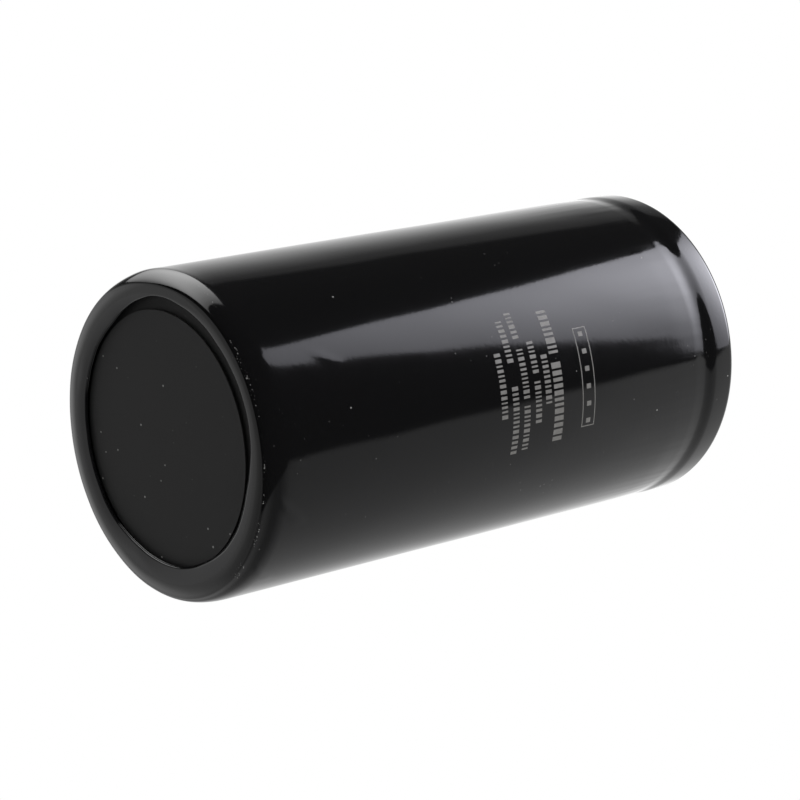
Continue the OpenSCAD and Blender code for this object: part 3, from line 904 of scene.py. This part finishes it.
def studio_light(s):
    """The world. The camera sees white. Polished pieces mirror a dark studio with a pale table.
    Everything else gets one plain level."""
    world = bpy.data.worlds.new("studio")
    shop = Shop(world)
    way = shop.node("TexCoord", out="Generated")
    toward = shop.dot(way, FAR_SIDE) * 0.5 + 0.5
    right = shop.ramp(toward, ((0, 0.3), (0.3, 0.4), (0.5, 0.46), (0.66, 0.55), (0.79, 0.7),
                               (0.86, 0.93), (1, 1)))
    left = shop.ramp(toward, ((0, 0.03), (0.52, 0.03), (0.6, 0.08), (0.68, 0.15), (0.745, 0.42),
                              (0.8, 0.75), (0.845, 0.95), (0.9, 1)))
    which = shop.dot(way, NEAR_RIGHT).step(-0.08, 0.08)
    table = shop.node("Mix", {"data_type": "FLOAT"}, {0: which, 2: left, 3: right})
    edge = shop.dot(way, TABLE_EDGE).step(-0.025, 0.025)
    east, _, rise = shop.split(way)
    by_rise = shop.ramp(rise * 0.5 + 0.5, ((0, 0.21), (0.18, 0.19), (0.29, 0.46), (0.4, 0.5),
                                           (0.5, 0.38), (0.62, 0.17), (0.69, 0.15), (0.83, 0.5),
                                           (0.838, 0.56), (0.855, 0.78), (0.88, 0.8),
                                           (0.93, 0.74), (1, 0.8)))
    low_end = east.step(-0.45, -0.1).over(rise.step(0.3, 0.45))
    mirrored = 0.035 + 2.0 * by_rise * table * edge * low_end
    seen = shop.node("LightPath").socket.node.outputs
    camera, glossy, through = (Wire(shop, seen[f"Is {kind} Ray"])
                               for kind in ("Camera", "Glossy", "Transmission"))
    white = camera.over(through)
    level = white + (1.0 - white) * (glossy * mirrored + (1.0 - glossy) * s.level)
    light = shop.node("Background", None, {"Color": (1, 1, 1, 1), "Strength": level})
    shop.node("OutputWorld", None, {"Surface": light})
    world.cycles.sampling_method = "NONE"
    return world


def card_material(name, corner, one, other, size, reach, low, high, hue):
    """A cloth that glows most in its middle: a low even level, and over it a bell curve of the
    distance from the middle along both edges."""
    made, shop = material(name + "_cloth")
    off = shop.node("VectorMath", {"operation": "SUBTRACT"}, {0: shop.place(), 1: corner})
    along = (shop.dot(off, one) - size[0] / 2) / reach[0]
    across = (shop.dot(off, other) - size[1] / 2) / reach[1]
    glow = shop.scaled(hue, low + high * (-1.0 * (along * along + across * across)).exp())
    shine = shop.node("Emission", None, {"Color": glow})
    shop.node("OutputMaterial", None, {"Surface": shine})
    made.cycles.emission_sampling = "NONE"
    return made


def card_mesh(name, corner, one, other, size, *glow):
    """One flat face: a corner, and both edges from there. Only polished pieces mirror it."""
    start = np.array(corner)
    first, second = size[0] * np.array(one), size[1] * np.array(other)
    points = MM * np.array([start, start + second, start + first + second, start + first])
    card = mesh_object(name, points, [[0, 1, 2, 3]],
                       card_material(name, corner, one, other, size, *glow))
    card.visible_camera = card.visible_diffuse = card.visible_shadow = False
    card.visible_transmission = card.visible_volume_scatter = False
    return card


def floor_material(s):
    """Pale and matte. It can't be seen from below or in a polished piece, because the camera
    looks up from under it and what is mirrored comes from the world."""
    made, shop = material("studio_floor")
    back = shop.node("NewGeometry", out="Backfacing")
    glossy = shop.node("LightPath", out="Is Glossy Ray")
    pale = shop.node("BsdfDiffuse", None, {"Color": solid(s.floor)})
    clear = shop.node("BsdfTransparent")
    both = shop.node("MixShader", None, {0: back.over(glossy), 1: pale, 2: clear})
    shop.node("OutputMaterial", None, {"Surface": both})
    return made


def floor_mesh(s, finish):
    """A flat ring on the floor. It is open under the part, so that light from below reaches the
    closed end: r runs from the opening to the edge. It lies a hair below the film that stands
    on it, so that no face of the two is in one plane."""
    columns = 96
    radius = np.array([s.floor_r, 3 * s.opening, s.opening])[:, None]
    return mesh_object("floor", turned(radius, -s.hair, round_angles(columns)),
                       grid_faces(3, columns), finish)


# Operators and panel


class CAPACITOR_OT_sleeve(bpy.types.Operator):
    """Builds the shrunk sleeve in place of its plain solid"""

    bl_idname = "capacitor.sleeve"
    bl_label = "Shrunk sleeve"

    def execute(self, context):
        s = settings().sleeve
        piece = sleeve_mesh(s, sleeve_material(s))
        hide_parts("insulating_sleeve")
        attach(piece, ROOT)
        return {"FINISHED"}


class CAPACITOR_OT_rating_print(bpy.types.Operator):
    """Puts the generic rating print on the sleeve"""

    bl_idname = "capacitor.rating_print"
    bl_label = "Rating print"

    def execute(self, context):
        p = settings().rating
        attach(print_mesh(p, settings().sleeve, print_material(p)), ROOT)
        return {"FINISHED"}


class CAPACITOR_OT_base(bpy.types.Operator):
    """Finishes the disc at the closed end"""

    bl_idname = "capacitor.base"
    bl_label = "Base disc"

    def execute(self, context):
        dress(board_material(settings().base), "base_disc")
        return {"FINISHED"}


class CAPACITOR_OT_closure(bpy.types.Operator):
    """Finishes the can, the deck, the seal and the vent, and adds the polarity marks"""

    bl_idname = "capacitor.closure"
    bl_label = "Closure"

    def execute(self, context):
        c = settings().closure
        moulding = moulding_material(c)
        rubber = grained_material("rubber", shaded(c.rubber, 0.85), c.rubber, (3.0, 3.0, 0.7),
                                  0.62, 0.02)
        dress(alloy_material("drawn_can", c, 0.30, 1.5, "Z"), "can")
        dress(moulding, "deck")
        dress(rubber, "seal_ring", "vent_plug")
        deck_z = top_of("deck") * MM - c.boss_h
        x = settings().terminal.x
        for name, side, arms in (("plus_mark", 1, 2), ("minus_mark", -1, 1)):
            mark = bar_mark(name, side * x, -c.mark_y, deck_z, arms, c, moulding)
            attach(mark, ROOT)
        return {"FINISHED"}


class CAPACITOR_OT_terminals(bpy.types.Operator):
    """Builds both terminals with their threads in place of their plain solids"""

    bl_idname = "capacitor.terminals"
    bl_label = "Terminals"

    def execute(self, context):
        t = settings().terminal
        turned_alloy = alloy_material("turned_alloy", settings().closure, 0.24, 9.0, "ROUND")
        for name, node, side in (("threaded_terminal_plus", "positive_terminal", 1),
                                 ("threaded_terminal_minus", "negative_terminal", -1)):
            piece = terminal_mesh(t, name, side * t.x, turned_alloy)
            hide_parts(node)
            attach(piece, ROOT)
        return {"FINISHED"}


class CAPACITOR_OT_inside(bpy.types.Operator):
    """Finishes the winding, its tape, the tabs and their washers"""

    bl_idname = "capacitor.inside"
    bl_label = "Inside"

    def execute(self, context):
        c = settings().closure
        dress(roll_material(), "winding")
        dress(grained_material("tape", (0.50, 0.32, 0.10), (0.62, 0.42, 0.16), (0.8, 3.0, 0.6),
                               0.3), "winding_tape")
        dress(alloy_material("washer_alloy", c, 0.32, 6.0, "ROUND"), "positive_tab_washer",
              "negative_tab_washer")
        dress(alloy_material("tab_alloy", c, 0.28, 3.0, "Z"),
              *(f"{pole}_tab_{i}" for pole in ("anode", "cathode") for i in range(1, 5)))
        return {"FINISHED"}


class CAPACITOR_OT_stage(bpy.types.Operator):
    """Adds the floor, the light and the camera"""

    bl_idname = "capacitor.stage"
    bl_label = "Stage"

    def execute(self, context):
        s = settings().stage
        scene = context.scene
        scene.world = studio_light(s)
        scene.view_settings.view_transform = "Standard"
        floor = floor_mesh(s, floor_material(s))

        lamp = bpy.data.lights.new("soft_lamp", "AREA")
        lamp.energy = s.key
        lamp.shape = "RECTANGLE"
        lamp.size, lamp.size_y = LAMP_SIZE
        key = linked("soft_lamp", lamp)
        key.matrix_world = (Matrix.Translation(LAMP_PLACE)
                            @ Matrix.Rotation(math.radians(LAMP_TURN), 4, "Z")
                            @ Matrix.Rotation(math.radians(LAMP_TILT), 4, "X"))
        key.visible_glossy = key.visible_camera = False

        view = bpy.data.cameras.new("camera")
        view.lens = s.lens
        view.sensor_width = 36.0
        view.clip_start = 0.01
        camera = linked("camera", view)
        turn = Matrix((CAMERA_RIGHT, CAMERA_UP, CAMERA_BACK)).transposed().to_4x4()
        camera.matrix_world = Matrix.Translation(CAMERA_PLACE) @ turn
        scene.camera = camera
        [card_mesh(*card) for card in CARDS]
        return {"FINISHED"}


STEPS = (CAPACITOR_OT_sleeve, CAPACITOR_OT_rating_print, CAPACITOR_OT_base,
         CAPACITOR_OT_closure, CAPACITOR_OT_terminals, CAPACITOR_OT_inside,
         CAPACITOR_OT_stage)


class CAPACITOR_PT_pieces(bpy.types.Panel):
    """Lists the pieces in the order in which they are built"""

    bl_idname = "CAPACITOR_PT_pieces"
    bl_label = "Capacitor"
    bl_space_type = "VIEW_3D"
    bl_region_type = "UI"
    bl_category = "Capacitor"

    def draw(self, context):
        for step in STEPS:
            self.layout.operator(step.bl_idname)
        for group in ("sleeve", "rating", "base", "closure", "terminal", "stage"):
            held = getattr(context.scene.capacitor, group)
            box = self.layout.box()
            for key in held.__annotations__:
                box.prop(held, key)


CLASSES = (SleeveSettings, PrintSettings, BaseSettings, ClosureSettings, TerminalSettings,
           StageSettings, CapacitorSettings, *STEPS, CAPACITOR_PT_pieces)


def register():
    for each in CLASSES:
        bpy.utils.register_class(each)
    bpy.types.Scene.capacitor = group(CapacitorSettings, "Capacitor",
                                      "Sizes and colours of the part")


def unregister():
    del bpy.types.Scene.capacitor
    for each in reversed(CLASSES):
        bpy.utils.unregister_class(each)


def main():
    register()
    bpy.ops.capacitor.sleeve()
    bpy.ops.capacitor.rating_print()
    bpy.ops.capacitor.base()
    bpy.ops.capacitor.closure()
    bpy.ops.capacitor.terminals()
    bpy.ops.capacitor.inside()
    bpy.ops.capacitor.stage()


if __name__ == "__main__":
    main()
